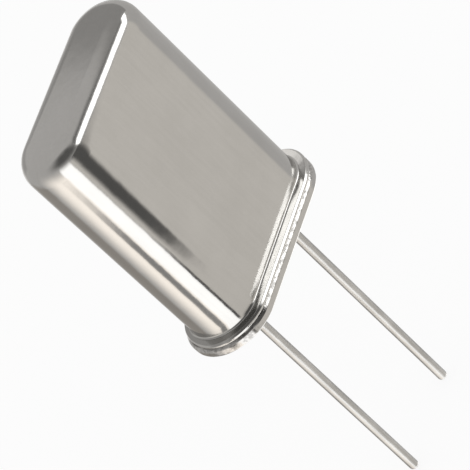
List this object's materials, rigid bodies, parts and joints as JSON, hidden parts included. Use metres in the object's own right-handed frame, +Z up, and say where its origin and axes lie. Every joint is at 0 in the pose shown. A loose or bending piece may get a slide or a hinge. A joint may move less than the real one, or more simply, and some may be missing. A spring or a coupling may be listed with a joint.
{
  "type": "crystal oscillator",
  "caption": "Upright metal-cased quartz crystal: flat round-ended can welded to a flanged base, with glass-sealed straight leads for soldering into a board.",
  "frame": {"origin": "on the underside of the base, which is the seating plane, midway between the two leads", "axes": "+Z up from the board to the closed end of the can, X along the pitch of the leads, Y through the thin way of the can"},
  "size_m": [0.0106, 0.0046, 0.0269],
  "materials": {
    "can_plating": "satin nickel plating on drawn sheet",
    "base_plating": "satin nickel plating on a stamped base",
    "seal_glass": "dark glossy sealing glass",
    "tinned_wire": "bright solder coat on wire",
    "spring_strip": "plated spring strip",
    "quartz": "clear, lapped and etched",
    "silver_plating": "vapour-plated silver",
    "silver_cement": "matt silver-filled cement"
  },
  "bodies": {
    "root": {"can": "can_plating", "base": "base_plating", "glass_seal_left": "seal_glass", "glass_seal_right": "seal_glass", "lead_left": "tinned_wire", "lead_right": "tinned_wire", "spring_clip_left": "spring_strip", "spring_clip_right": "spring_strip", "quartz_blank": "quartz", "electrode_front": "silver_plating", "electrode_rear": "silver_plating", "cement_left": "silver_cement", "cement_right": "silver_cement"}
  },
  "joints": []
}
